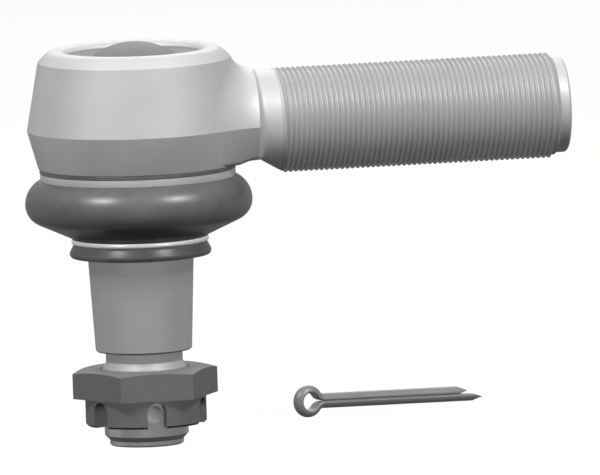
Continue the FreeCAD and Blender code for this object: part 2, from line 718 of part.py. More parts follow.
def bend_wire(point, heading, radius, steps):
    """Solids of a half-round wire that is bent in the XZ plane.

    A step is ("run", length), ("point", length) for a wedge at either end, or
    ("bend", radius, degrees), which turns left for a positive angle. The round side of
    the wire is on the left.
    """
    solids = []
    for step in steps:
        left = Vector(-heading.z, 0, heading.x)
        section = half_round(point, left, radius)
        if step[0] == "run":
            solids.append(section.extrude(heading * step[1]))
            point = point + heading * step[1]
        elif step[0] == "point":
            ahead = heading * step[1]
            tip = point + ahead + left * (radius / 2)
            wedge = Part.makePolygon([point, point + left * radius, tip, point])
            slab = Part.Face(wedge).extrude(Vector(0, 4 * radius, 0))
            slab.translate(Vector(0, -2 * radius, 0))
            solids.append(section.extrude(ahead).common(slab))
        else:
            bend_radius, angle = step[1], step[2]
            centre = point + left * math.copysign(bend_radius, angle)
            solids.append(section.revolve(centre, Vector(0, 1, 0), -angle))
            turn = Rotation(Vector(0, 1, 0), -angle)
            point = centre + turn.multVec(point - centre)
            heading = turn.multVec(heading)
    return solids


def build_split_pin():
    """Split pin, bent from half-round wire, standing on its eye beside the stud."""
    s = size
    flat = s.pin_leg_gap.value / 2
    wire = s.pin_wire_radius.value
    eye = s.pin_eye_radius.value
    throat_radius = s.pin_throat_radius.value
    opening = math.acos((throat_radius + flat) / (throat_radius + eye))
    throat = math.sin(opening) * (throat_radius + eye)
    turn = math.degrees(opening)
    start = s.pin_long_leg.value - s.pin_point.value
    solids = bend_wire(Vector(start, 0, -flat), Vector(-1, 0, 0), wire, [
        ("run", start - throat),
        ("bend", throat_radius, turn),
        ("bend", eye, -(180 + 2 * turn)),
        ("bend", throat_radius, turn),
        ("run", s.pin_short_leg.value - s.pin_point.value - throat),
        ("point", s.pin_point.value)])
    # The long leg's point is the short leg's, mirrored about the line between the legs.
    point = solids[-1].mirror(Vector(0, 0, 0), Vector(0, 0, 1))
    point.translate(Vector(s.pin_long_leg.value - s.pin_short_leg.value, 0, 0))
    pin = document.addObject("Part::Feature", "split_pin")
    pin.Label = "split_pin"
    pin.Shape = solids[0].fuse(solids[1:] + [point]).removeSplitter()
    ground = -s.dog_end_depth.value
    turned_away = Rotation(Vector(0, 0, 1), s.pin_turn.value)
    dipped = Rotation(Vector(0, 1, 0), s.pin_dip.value)
    pin.Placement = Placement(Vector(s.pin_reach.value, s.pin_offset.value, ground + eye + wire),
                              turned_away.multiply(dipped))
    return pin


def main():
    pieces = [build_housing(), build_stud(), build_boot(), build_nut(), build_spring(), build_split_pin()]
    pieces += build_seats() + build_cover() + build_clamp_rings()
    document.recompute()
    for item in document.Objects:
        if "Invalid" in item.State or "Error" in item.State:
            raise RuntimeError("failed: " + item.Name)
    os.makedirs("parts", exist_ok=True)
    for piece in pieces:
        shape = piece.Shape
        if shape.isNull() or not shape.isValid() or not shape.Solids:
            raise RuntimeError("no valid solid: " + piece.Label)
        shape.exportStep("parts/%s.step" % piece.Label)
        box = shape.BoundBox
        print("%-18s %d solid, %9.1f mm3, x %.2f %.2f, y %.2f %.2f, z %.2f %.2f" % (
            piece.Label, len(shape.Solids), shape.Volume,
            box.XMin, box.XMax, box.YMin, box.YMax, box.ZMin, box.ZMax))


main()
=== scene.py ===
import math

import bmesh
import bpy
import numpy as np
from mathutils import Matrix, Vector


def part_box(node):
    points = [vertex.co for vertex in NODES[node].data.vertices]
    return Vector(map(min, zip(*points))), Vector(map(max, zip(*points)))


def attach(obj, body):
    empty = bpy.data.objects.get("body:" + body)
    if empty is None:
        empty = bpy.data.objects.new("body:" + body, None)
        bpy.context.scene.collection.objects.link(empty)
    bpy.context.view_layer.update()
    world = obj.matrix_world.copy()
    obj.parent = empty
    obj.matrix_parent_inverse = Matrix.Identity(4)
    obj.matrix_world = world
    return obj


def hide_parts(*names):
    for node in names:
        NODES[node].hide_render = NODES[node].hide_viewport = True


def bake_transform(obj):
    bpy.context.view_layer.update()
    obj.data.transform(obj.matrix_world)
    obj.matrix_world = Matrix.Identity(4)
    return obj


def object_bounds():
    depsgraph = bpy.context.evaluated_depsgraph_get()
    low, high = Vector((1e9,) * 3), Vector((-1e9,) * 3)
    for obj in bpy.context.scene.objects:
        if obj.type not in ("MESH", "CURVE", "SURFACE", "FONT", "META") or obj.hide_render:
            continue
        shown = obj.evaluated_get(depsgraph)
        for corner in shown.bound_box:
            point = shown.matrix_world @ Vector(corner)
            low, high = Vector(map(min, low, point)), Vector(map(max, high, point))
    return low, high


bl_info = {
    "name": "Angle Ball Joint",
    "version": (1, 0, 0),
    "blender": (4, 5, 0),
    "location": "View3D > Sidebar > Ball Joint",
    "description": "Builds the forging, thread, boot and split pin of the packed angle ball joint, "
                   "with their finishes and the stage",
    "category": "Object",
}

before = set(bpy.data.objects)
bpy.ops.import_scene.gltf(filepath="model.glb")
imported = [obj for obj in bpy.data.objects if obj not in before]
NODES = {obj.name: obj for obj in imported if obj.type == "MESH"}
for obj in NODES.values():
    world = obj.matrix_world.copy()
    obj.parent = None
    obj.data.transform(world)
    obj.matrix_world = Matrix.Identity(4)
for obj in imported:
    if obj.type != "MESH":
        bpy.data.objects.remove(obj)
CAD_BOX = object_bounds()
MM = 0.001
FULL_TURN = 2 * math.pi


def box_of(node):
    low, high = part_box(node)
    return {"x": (low.x, high.x), "y": (low.y, high.y), "z": (low.z, high.z)}


HOUSING = box_of("housing")


# Sizes and colours

def length(name, default, description):
    return bpy.props.FloatProperty(
        name=name, default=default, min=0.0, precision=5,
        subtype="DISTANCE", unit="LENGTH", description=description)


def signed_length(name, default, description):
    return bpy.props.FloatProperty(
        name=name, default=default, precision=5,
        subtype="DISTANCE", unit="LENGTH", description=description)


def share(name, default, description):
    return bpy.props.FloatProperty(
        name=name, default=default, min=0.0, max=1.0, subtype="FACTOR", description=description)


def grey(name, level, description, tint=(1.0, 1.0, 1.0)):
    return bpy.props.FloatVectorProperty(
        name=name, size=3, subtype="COLOR", min=0.0, max=1.0, description=description,
        default=tuple(level * part for part in tint))


class ForgingSizes(bpy.types.PropertyGroup):
    """The forged barrel and its neck. Heights are measured from the centre of the ball."""

    parting_radius: length("Parting radius", 31.3 * MM, "Widest circle, at the parting line")
    parting_height: signed_length("Parting height", 0.1 * MM, "Height of the parting line")
    base_radius: length("Base radius", 28.35 * MM, "Lower edge of the barrel")
    base_height: signed_length("Base height", -10.85 * MM, "Underside of the barrel")
    spigot_radius: length("Spigot radius", 26.0 * MM, "Spigot that carries the boot")
    spigot_end: signed_length("Spigot end", -15.0 * MM, "Lower end of the spigot")
    mouth_radius: length("Mouth radius", 16.8 * MM, "Narrowest part of the mouth")
    mouth_end_radius: length("Mouth end radius", 19.3 * MM, "Mouth at the end of the spigot")
    ledge_height: signed_length("Ledge height", -9.5 * MM, "Ledge under the lower seat")
    bore_radius: length("Bore radius", 22.0 * MM, "Bore for the ball seats")
    pocket_height: signed_length("Pocket height", 18.2 * MM, "Ledge under the closing cover")
    pocket_radius: length("Pocket radius", 23.45 * MM, "Pocket of the closing cover")
    cover_height: signed_length("Cover height", 21.2 * MM, "Top of the closing cover's flat edge")
    rim_edge_radius: length("Rim edge radius", 27.6 * MM, "Edge between cone and rolled rim")
    rim_edge_height: signed_length("Rim edge height", 19.7 * MM, "Height of that edge")
    rim_opening: length("Rim opening", 19.25 * MM, "Opening that the rolled rim leaves")
    rim_crest: signed_length("Rim crest", HOUSING["z"][1], "Highest circle of the rolled rim")
    roll: length("Roll", 3.9 * MM, "Rounding of the rim's outer side")
    roll_reach: length("Roll reach", 22.73 * MM, "Radius on which that rounding has its centre")
    inner_roll: length("Inner roll", 3.0 * MM, "Rounding of the rim's inner side")
    inner_roll_reach: length(
        "Inner roll reach", 21.79 * MM, "Radius on which that one has its centre")
    neck_half_width: length("Neck half width", 17.5 * MM, "Half the width of the neck's oval")
    neck_top: length("Neck top", 15.9 * MM, "Top of the neck")
    neck_sink: length("Neck sink", 2.5 * MM, "Middle of the neck's oval, below the ball's centre")
    hollow_side: length("Side hollow", 8.0 * MM, "Hollow between barrel and neck, at the side")
    hollow_top: length("Top hollow", 4.5 * MM, "Hollow between barrel and neck, at the top")
    edge_reach: length("Neck edge", 32.75 * MM, "Where the neck falls to the collar, from the ball")
    edge_rise: length("Edge rise", 0.85 * MM, "How much further out that edge is at the top")
    flank_side: length("Side flank", 2.2 * MM, "Length of the fall to the collar, at the side")
    flank_top: length("Top flank", 1.3 * MM, "Length of the fall to the collar, at the top")


class ShankSizes(bpy.types.PropertyGroup):
    """The threaded shank, along X."""

    start: signed_length("Start", 39.9 * MM, "Where the collar ends and the thread begins")
    collar_radius: length("Collar radius", 14.8 * MM, "Radius of the collar")
    thread_radius: length("Thread radius", 15.0 * MM, "Outer radius of the thread")
    pitch: length("Pitch", 1.5 * MM, "Distance from one turn of the thread to the next")
    thread_depth: length("Thread depth", 0.92 * MM, "Height of the thread's ridges")
    thread_end: signed_length("Thread end", 121.1 * MM, "Where the thread ends")
    tip_radius: length("Tip radius", 13.6 * MM, "Radius of the plain tip")
    relief_start: signed_length(
        "Relief start", 34.5 * MM, "Where the slope under the first turns starts")
    relief_depth: length("Relief depth", 10.5 * MM, "Depth of the slope there")
    relief_end: signed_length("Relief end", 42.5 * MM, "Where the slope has left the thread")
    tip_end: signed_length("Tip end", HOUSING["x"][1], "End face of the shank")
    tip_round: length("Tip round", 0.9 * MM, "Rounded edge of the tip")


class BootSizes(bpy.types.PropertyGroup):
    """The moulded dust boot. Heights are measured from the centre of the ball."""

    top: signed_length("Top", -10.95 * MM, "Top of the boot's collar")
    collar_bore: length("Collar bore", 26.1 * MM, "Inside of the collar, on the housing")
    flange_radius: length("Flange radius", 28.1 * MM, "Edge above the clamp ring")
    flange_end: signed_length("Flange end", -12.1 * MM, "Lower side of that edge")
    groove_radius: length("Groove radius", 27.15 * MM, "Groove that holds the clamp ring")
    groove_end: signed_length("Groove end", -14.24 * MM, "Lower side of that groove")
    band_radius: length("Band radius", 27.95 * MM, "Outside of the upper clamp band")
    bulge_radius: length("Bulge radius", 32.5 * MM, "Widest part of the boot")
    bulge_height: signed_length("Bulge height", -21.2 * MM, "Height of the widest part")
    bulge_round: length("Bulge round", 7.8 * MM, "Curvature above the widest part")
    lower_round: length("Lower round", 5.9 * MM, "Curvature below the widest part")
    wall: length("Wall", 2.2 * MM, "Rubber wall")
    fold_height: signed_length(
        "Fold height", -24.8 * MM, "Above it the boot swings, below it it also sways")
    foot_radius: length("Foot radius", 19.7 * MM, "Foot above the lower ring")
    foot_height: signed_length("Foot height", -30.9 * MM, "Height of the foot")
    waist_radius: length("Waist radius", 18.5 * MM, "Groove that holds the lower ring")
    waist_top: signed_length("Waist top", -31.3 * MM, "Upper side of that groove")
    waist_end: signed_length("Waist end", -32.9 * MM, "Lower side of that groove")
    lip_radius: length("Lip radius", 20.4 * MM, "Widest part of the sealing lip")
    lip_bore: length("Lip bore", 15.25 * MM, "Inside of the lip, on the stud's taper")
    lip_height: signed_length("Lip height", -35.5 * MM, "Height of the widest part of the lip")
    lip_end: signed_length("Lip end", -36.6 * MM, "Lower face of the lip")


class PinSizes(bpy.types.PropertyGroup):
    """The split pin, bent from half-round wire. It lies on the ground beside the joint."""

    wire: length("Wire", 2.05 * MM, "Radius of the half-round wire")
    edge: length("Edge", 0.4 * MM, "Rounding of the wire's two edges")
    half_gap: length("Half gap", 0.1 * MM, "Half the gap between the legs")
    eye: length("Eye", 2.55 * MM, "Inner radius of the eye")
    throat: length("Throat", 3.2 * MM, "Radius of the bends between eye and legs")
    long_leg: length("Long leg", 57.9 * MM, "End of the long leg, from the eye's middle")
    short_leg: length("Short leg", 52.8 * MM, "End of the short leg, from the eye's middle")
    point: length("Point", 2.8 * MM, "Length of the wedge that ends each leg")
    reach: signed_length("Reach", 55.3 * MM, "Place of the eye along the shank")
    offset: signed_length("Offset", 44.2 * MM, "Place of the eye behind the stud")
    turn: bpy.props.FloatProperty(
        name="Turn", default=math.radians(21.4), subtype="ANGLE",
        description="Turn of the legs away from the shank, seen from above")
    dip: bpy.props.FloatProperty(
        name="Dip", default=math.radians(2.55), subtype="ANGLE",
        description="Slope of the legs down to the ground")


class FinishColours(bpy.types.PropertyGroup):
    """Colours of the materials."""

    forged: grey("Forging", 0.435, "Satin steel of the forged housing")
    thread: grey("Thread", 0.37, "Rolled thread of the shank")
    cover: grey("Cover", 0.165, "Pressed sheet of the closing cover")
    rubber: grey("Rubber", 0.115, "Rubber of the boot", (1.0, 1.0, 1.02))
    seal: grey("Seal", 0.05, "Rubber of the sealing ring")
    band: grey("Upper ring", 0.40, "Strip of the upper clamp ring")
    ring: grey("Lower ring", 0.74, "Bright wire of the lower clamp ring")
    stud: grey("Stud", 0.34, "Turned and ground steel of the stud")
    nut: grey("Nut", 0.150, "Dark phosphated steel of the castle nut")
    pin: grey("Split pin", 0.235, "Drawn wire of the split pin")
    plastic: grey("Seats", 0.62, "Moulded plastic of the ball seats", (1.0, 0.96, 0.84))
    spring: grey("Spring", 0.12, "Hardened sheet of the disc spring")


class StageSettings(bpy.types.PropertyGroup):
    """Floor, lamps and camera."""

    azimuth: bpy.props.FloatProperty(
        name="Azimuth", default=math.radians(-10.5), subtype="ANGLE",
        description="Direction from which the camera looks, 0 along +Y")
    elevation: bpy.props.FloatProperty(
        name="Elevation", default=math.radians(6.3), subtype="ANGLE",
        description="Angle of the camera above the horizon")
    roll: bpy.props.FloatProperty(
        name="Roll", default=math.radians(2.0), subtype="ANGLE",
        description="Tilt of the camera about its line of sight")
    frame_width: length("Frame width", 171.4 * MM, "Width that the camera takes in")
    aim_right: signed_length("Aim right", 46.77 * MM, "Middle of the picture, right of the ball")
    aim_up: signed_length("Aim up", -31.34 * MM, "Middle of the picture, above the ball")
    lamp_power: bpy.props.FloatProperty(
        name="Lamp power", default=15.0, min=0.0, unit="POWER",
        description="Power of each front lamp, with and without shadows together")
    floor_glow: share("Floor glow", 0.905, "How pale the floor stays in the shadow")


# Shader nodes written as plain expressions

class Value:
    """A socket in a node tree, so that shader maths reads as arithmetic."""

    def __init__(self, owner, socket):
        self.owner = owner
        self.socket = socket

    def maths(self, operation, first, second):
        return self.owner.node("ShaderNodeMath", {"operation": operation}, {0: first, 1: second})

    def __add__(self, other):
        return self.maths("ADD", self, other)

    def __radd__(self, other):
        return self.maths("ADD", other, self)

    def __sub__(self, other):
        return self.maths("SUBTRACT", self, other)

    def __rsub__(self, other):
        return self.maths("SUBTRACT", other, self)

    def __mul__(self, other):
        return self.maths("MULTIPLY", self, other)

    def __rmul__(self, other):
        return self.maths("MULTIPLY", other, self)

    def __truediv__(self, other):
        return self.maths("DIVIDE", self, other)

    def __rtruediv__(self, other):
        return self.maths("DIVIDE", other, self)

    def __pow__(self, other):
        return self.maths("POWER", self, other)

    def between(self, low, high):
        """0 below low, 1 above high and a smooth step between them."""
        return self.owner.node(
            "ShaderNodeMapRange", {"interpolation_type": "SMOOTHSTEP"},
            {"Value": self, "From Min": low, "From Max": high})


class ShaderTree:
    """The shader nodes of a material or of the world."""

    def __init__(self, owner):
        owner.use_nodes = True
        self.tree = owner.node_tree
        self.tree.nodes.clear()

    def node(self, kind, settings=None, inputs=None, output=0):
        """Add a node: its settings first, then the values or links of its sockets."""
        node = self.tree.nodes.new(kind)
        for name, setting in (settings or {}).items():
            setattr(node, name, setting)
        for name, value in (inputs or {}).items():
            if isinstance(value, Value):
                self.tree.links.new(value.socket, node.inputs[name])
            else:
                node.inputs[name].default_value = value
        return Value(self, node.outputs[output])

    def seen(self):
        """1 for what the camera sees, also in reflections, and 0 for light that the part gets."""
        path = self.node("ShaderNodeLightPath").socket.node
        camera, glossy, transmission = (
            Value(self, path.outputs["Is %s Ray" % kind])
            for kind in ("Camera", "Glossy", "Transmission"))
        return camera + glossy + transmission

    def end(self, shader, kind="ShaderNodeOutputMaterial"):
        """Close the tree with its output node."""
        output = self.tree.nodes.new(kind)
        self.tree.links.new(shader.socket, output.inputs["Surface"])


class Finish(ShaderTree):
    """A material under construction, with the place on the part that it is worked out from."""

    def __init__(self, name):
        self.material = bpy.data.materials.new(name)
        super().__init__(self.material)
        self.place = self.node("ShaderNodeTexCoord", output="Object")
        parts = self.node("ShaderNodeSeparateXYZ", inputs={0: self.place}).socket.node
        self.x, self.y, self.z = (Value(self, parts.outputs[axis]) for axis in "XYZ")

    def noise(self, scale, detail=3.0, roughness=0.5, vector=None):
        return self.node("ShaderNodeTexNoise", {}, {
            "Vector": vector or self.place, "Scale": scale, "Detail": detail,
            "Roughness": roughness})

    def vector(self, x, y, z):
        return self.node("ShaderNodeCombineXYZ", {}, {"X": x, "Y": y, "Z": z})

    def mix(self, factor, first, second):
        """A colour between two colours."""
        colours = [value if isinstance(value, Value) else (*value, 1.0)
                   for value in (first, second)]
        return self.node("ShaderNodeMix", {"data_type": "RGBA"}, {
            0: factor, 6: colours[0], 7: colours[1]}, output=2)

    def bump(self, height, depth, under=None):
        inputs = {"Height": height, "Distance": depth, "Strength": 1.0}
        if under is not None:
            inputs["Normal"] = under
        return self.node("ShaderNodeBump", {}, inputs)

    def around(self, axis):
        """Distance from an axis through the ball's centre, X or Z."""
        side = self.z if axis == "X" else self.x
        return (side * side + self.y * self.y) ** 0.5

    def surface(self, **inputs):
        """End the material with a Principled shader."""
        names = {name.replace("_", " ").title().replace("Ior", "IOR"): value
                 for name, value in inputs.items()}
        colour = names["Base Color"]
        if not isinstance(colour, Value):
            names["Base Color"] = (*colour, 1.0)
        self.end(self.node("ShaderNodeBsdfPrincipled", {}, names))
        return self.material


def scaled(colour, factor):
    return tuple(min(part * factor, 1.0) for part in colour)


def steel(name, colour, roughness=0.47, metallic=0.17, specular=0.0, grain=900.0,
          grain_depth=0.003, mottle=0.04, marks=None, marks_depth=0.0015, tip=None):
    """Satin steel with faint clouds, a fine grain and, where it was turned, fine rings.

    marks is the axis that the piece was turned about, and tip a place along X with the
    colour from there on.
    """
    finish = Finish(name)
    clouds = finish.noise(60.0, 4.0, 0.6)
    fine = finish.noise(grain, 3.0, 0.6)
    tone = clouds * 0.65 + fine * 0.35
    base = finish.mix(
        tone.between(0.3, 0.7), scaled(colour, 1 - mottle), scaled(colour, 1 + mottle))
    if tip:
        base = finish.mix(finish.x.between(tip[0], tip[0] + 0.1 * MM), base, tip[1])
    rough = finish.noise(180.0, 3.0, 0.5).between(0.25, 0.75) * 0.08 + (roughness - 0.04)
    normal = finish.bump(fine, grain_depth * MM)
    if marks:
        along = finish.x if marks == "X" else finish.z
        rings = finish.noise(5200.0, 2.0, 0.5, finish.vector(finish.around(marks), along, 0.0))
        normal = finish.bump(rings, marks_depth * MM, normal)
        rough = rough + rings.between(0.35, 0.65) * 0.05
    return finish.surface(
        base_color=base, roughness=rough, metallic=metallic, specular_ior_level=specular,
        normal=normal)


def rubber(name, colour, roughness=0.33, metallic=0.25):
    """Moulded rubber: nearly even colour, a soft bloom and a very fine skin."""
    finish = Finish(name)
    clouds = finish.noise(90.0, 4.0, 0.6)
    skin = finish.noise(2600.0, 2.0, 0.5)
    base = finish.mix(clouds.between(0.35, 0.7), scaled(colour, 0.92), scaled(colour, 1.10))
    rough = clouds.between(0.3, 0.7) * 0.05 + skin * 0.04 + (roughness - 0.04)
    return finish.surface(
        base_color=base, roughness=rough, metallic=metallic, specular_ior_level=0.0,
        normal=finish.bump(skin, 0.0016 * MM))


def moulded(name, colour):
    """Moulded plastic of the ball seats."""
    finish = Finish(name)
    clouds = finish.noise(120.0, 3.0, 0.5)
    base = finish.mix(clouds.between(0.35, 0.7), scaled(colour, 0.95), scaled(colour, 1.03))
    return finish.surface(
        base_color=base, roughness=clouds * 0.1 + 0.4,
        normal=finish.bump(finish.noise(1500.0), 0.003 * MM))


# Mesh building

def new_piece(name, vertices, faces, material, body, slot, replaced, sharp=35.0):
    """A closed mesh with smooth shading that keeps edges sharper than an angle in degrees."""
    mesh = bpy.data.meshes.new(name)
    mesh.from_pydata([tuple(vertex) for vertex in vertices], [], faces)
    tidy(mesh)
    return dress(name, mesh, material, body, replaced, sharp)


def tidy(mesh):
    """Merge double vertices, drop what collapsed and turn all faces outwards."""
    work = bmesh.new()
    work.from_mesh(mesh)
    bmesh.ops.remove_doubles(work, verts=work.verts, dist=2e-7)
    bmesh.ops.dissolve_degenerate(work, edges=work.edges, dist=2e-7)
    bmesh.ops.recalc_face_normals(work, faces=work.faces)
    work.to_mesh(mesh)
    work.free()


def dress(name, mesh, material, body, replaced, sharp):
    """Place a mesh in the scene with its finish, body and the node that it replaces."""
    mesh.materials.append(material)
    mesh.shade_smooth()
    mesh.set_sharp_from_angle(angle=math.radians(sharp))
    piece = bpy.data.objects.new(name, mesh)
    bpy.context.scene.collection.objects.link(piece)
    if body:
        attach(piece, body)
    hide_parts(replaced)
    return piece


def arc(centre, radius, start, end, steps):
    """Points of an arc in (radius, height), with angles in degrees."""
    angles = np.radians(np.linspace(start, end, steps + 1))
    return [(centre[0] + radius * math.cos(angle), centre[1] + radius * math.sin(angle))
            for angle in angles]


def rounded(corners, steps=4):
    """Round the corners (radius, height, fillet) of a closed outline."""
    outline = []
    count = len(corners)
    for index, corner in enumerate(corners):
        point = Vector(corner[:2])
        fillet = corner[2] if len(corner) > 2 else 0.0
        if not fillet:
            outline.append(tuple(point))
            continue
        before = (Vector(corners[index - 1][:2]) - point).normalized()
        after = (Vector(corners[(index + 1) % count][:2]) - point).normalized()
        half = before.angle(after) / 2
        reach = fillet / math.tan(half)
        centre = point + (before + after).normalized() * (fillet / math.sin(half))
        first = point + before * reach - centre
        last = point + after * reach - centre
        turn = first.angle_signed(last)
        for step in range(steps + 1):
            part = Matrix.Rotation(-turn * step / steps, 2) @ first
            outline.append(tuple(centre + part))
    return outline


def turned(outline, segments=144):
    """Vertices and faces of an outline (radius, height) turned about Z."""
    angles = np.arange(segments) * FULL_TURN / segments
    vertices = [(radius * math.cos(angle), radius * math.sin(angle), height)
                for angle in angles for radius, height in outline]
    count = len(outline)
    faces = []
    for column in range(segments):
        following = (column + 1) % segments
        for row in range(count):
            below = (row + 1) % count
            faces.append((column * count + row, following * count + row,
                          following * count + below, column * count + below))
    return vertices, faces


# One turn of the thread: place in the turn, and how deep it lies there
THREAD_PROFILE = ((0.0, 0.0), (0.125, 0.0), (0.4375, 0.95), (0.5625, 1.0), (0.6875, 0.95))


def relieved(sizes, x, y, z):
    """A point of the shank, raised to the slope that is cut under its first turns."""
    along = (x - sizes.relief_start) / (sizes.relief_end - sizes.relief_start)
    floor = sizes.relief_depth + (sizes.thread_radius - sizes.relief_depth) * along
    return x, y, max(z, -floor)


def threaded(sizes, segments=96):
    """Vertices and faces of the shank with a real helical thread, from the collar to its tip."""
    pitch = sizes.pitch
    first = sizes.start - 2 * pitch
    turns = int((sizes.thread_end - first) / pitch) + 3
    chamfer = sizes.thread_radius - sizes.tip_radius
    shoulder = sizes.thread_radius - sizes.collar_radius

    def radius_at(x, depth):
        ridge = min((x - sizes.start - shoulder) / pitch, 1.0)
        ridge = max(ridge, 0.0)
        radius = sizes.thread_radius - sizes.thread_depth * depth * ridge
        radius = min(radius, sizes.collar_radius + max(x - sizes.start, 0.0))
        return min(radius, sizes.tip_radius + max(sizes.thread_end - x, 0.0), sizes.thread_radius)

    stations = [(turn + place, depth) for turn in range(turns) for place, depth in THREAD_PROFILE]
    rows = len(stations)
    vertices = []
    for column in range(segments):
        lead = column / segments
        angle = FULL_TURN * lead
        for place, depth in stations:
            x = min(max(first + pitch * (place + lead), sizes.start), sizes.thread_end)
            radius = radius_at(x, depth)
            vertices.append(relieved(sizes, x, radius * math.cos(angle), radius * math.sin(angle)))
    faces = []
    turn_rows = len(THREAD_PROFILE)
    for column in range(segments):
        last = column == segments - 1
        following = 0 if last else column + 1
        shift = turn_rows if last else 0
        for row in range(rows - 1 - shift):
            faces.append((column * rows + row, column * rows + row + 1,
                          following * rows + row + 1 + shift, following * rows + row + shift))

    # The plain tip, rounded at its edge, and the two end faces.
    tip = [(sizes.thread_end, sizes.tip_radius)]
    tip += [(sizes.tip_end - sizes.tip_round + sizes.tip_round * math.sin(angle),
             sizes.tip_radius - sizes.tip_round + sizes.tip_round * math.cos(angle))
            for angle in np.linspace(0.0, math.pi / 2, 6)]
    base = len(vertices)
    for x, radius in tip + [(sizes.start, sizes.collar_radius)]:
        vertices += [relieved(sizes, x, radius * math.cos(FULL_TURN * column / segments),
                              radius * math.sin(FULL_TURN * column / segments))
                     for column in range(segments)]
    for ring in range(len(tip) - 1):
        for column in range(segments):
            following = (column + 1) % segments
            start = base + ring * segments
            faces.append((start + column, start + following,
                          start + segments + following, start + segments + column))
    end_ring = base + (len(tip) - 1) * segments
    start_ring = base + len(tip) * segments
    faces.append(tuple(range(end_ring, end_ring + segments)))
    faces.append(tuple(range(start_ring, start_ring + segments)))
    return vertices, faces


# The forging's neck: an oval above the parting line, drafted sides and a flat belly below it

# Lines along the neck: over its top, down each side, round each lower corner and, as shares of
# the half width, across the belly
NECK_FACETS = 72
WALL_STEPS = 12
CORNER_STEPS = 6
BELLY = (0.7, 0.35, 0.0, -0.35, -0.7)
# Rings round the neck, its flank and the collar, and sizes of those in its end wall
NECK_RINGS = 44
FLANK_RINGS = 7
COLLAR_RINGS = 9
CAP_RINGS = (1.0, 0.8, 0.6, 0.4, 0.2)
# Inward lean of the sides below the parting line, and how it grows with the depth
SIDE_DRAFT = 0.25
SIDE_CURVE = 12.6
# Where the neck leaves the barrel, along the shank: at its sides, at the sides' lower ends and
# at the belly's middle, and how much further out at the top
SIDE_ROOT = 17.8 * MM
LOW_ROOT = 19.0 * MM
BELLY_ROOT = 26.5 * MM
TOP_ROOT_RISE = 8.5 * MM
# The neck's end inside the barrel: radius of its wall and height of its middle
CAP_RADIUS = 26.0 * MM
CAP_MIDDLE = 4.0 * MM
# Depth of the neck's skin under the barrel's, where the two are the same surface
LAID_UNDER = 0.01 * MM
# How far the search along a ray goes, and how often it halves what is left
LONGEST_RAY = 60 * MM
HALVINGS = 36
# Height of the belly along the shank, and the rounding of its edges
BELLY_LINE = np.array([
    (27.2, -10.8), (28.4, -10.45), (29.5, -10.1), (30.7, -9.85), (33.0, -9.75),
    (34.7, -10.2), (36.2, -11.2), (37.7, -12.3), (39.9, -13.54)]) * MM
BELLY_EDGE = np.array([(36.0, 1.2), (39.9, 0.02)]) * MM


def barrel_radius(sizes, height):
    """Radius of the two cones that meet at the parting line."""
    return np.interp(height, (sizes.base_height, sizes.parting_height, sizes.rim_edge_height),
                     (sizes.base_radius, sizes.parting_radius, sizes.rim_edge_radius))


def neck_gap(sizes, x, y, z):
    """How far a point lies outside the barrel and the neck with the hollow between them."""
    barrel = np.hypot(x, y) - barrel_radius(sizes, z) + LAID_UNDER
    half_width = sizes.neck_half_width
    rise = sizes.neck_top + sizes.neck_sink
    oval = (np.hypot(y / half_width, (z + sizes.neck_sink) / rise) - 1) * half_width
    drop = sizes.parting_height - z
    lowering = (sizes.parting_height + sizes.neck_sink) / rise
    widest = half_width * math.sqrt(1 - lowering * lowering)
    side = np.abs(y) - (widest - drop * SIDE_DRAFT - drop * drop * SIDE_CURVE)
    neck = np.where(drop > 0, side, oval)
    sideways = y * y / (y * y + drop * drop + LAID_UNDER * LAID_UNDER)
    hollow = sizes.hollow_top + (sizes.hollow_side - sizes.hollow_top) * sideways
    outside = hollow - np.hypot(np.maximum(hollow - barrel, 0.0), np.maximum(hollow - neck, 0.0))
    return np.maximum(outside, z - sizes.rim_edge_height)


def skin(gap, x, start, along):
    """Points (y, z) where rays from start leave the solid of a gap function."""
    near = np.zeros_like(x)
    far = np.full_like(x, LONGEST_RAY)
    for _ in range(HALVINGS):
        middle = (near + far) / 2
        outside = gap(x, start[0] + along[0] * middle, start[1] + along[1] * middle) > 0
        near, far = np.where(outside, near, middle), np.where(outside, middle, far)
    return np.array((start[0] + along[0] * near, start[1] + along[1] * near))


def neck_lines():
    """Lines along the neck, in their order round it: kind, side and place."""
    upper = [("ray", 1, angle) for angle in np.linspace(0.0, math.pi, NECK_FACETS + 1)]
    down = [("wall", 1, step / WALL_STEPS) for step in range(1, WALL_STEPS + 1)]
    down += [("corner", 1, math.pi / 2 * step / CORNER_STEPS)
             for step in range(1, CORNER_STEPS + 1)]
    up = [(kind, -1, place) for kind, _, place in reversed(down)]
    return upper + down + [("belly", 1, place) for place in BELLY] + up


def line_points(sizes, gap, x, kind, side, place):
    """Points (y, z) of one line at the stations x."""
    parting = np.full_like(x, sizes.parting_height)
    if kind == "ray":
        return skin(gap, x, (np.zeros_like(x), parting), (-math.cos(place), math.sin(place)))
    belly = np.interp(x, *BELLY_LINE.T)
    edge = np.interp(x, *BELLY_EDGE.T)
    if kind == "wall":
        height = parting + (belly + edge - parting) * place
        inset = 0.0
    else:
        turn = place if kind == "corner" else math.pi / 2
        height = belly + edge * (1 - math.sin(turn))
        inset = edge * (1 - math.cos(turn))
    width = skin(gap, x, (np.zeros_like(x), height), (1.0, 0.0))[0] - inset
    if kind == "belly":
        width = width * place
    return np.array((side * width, height))


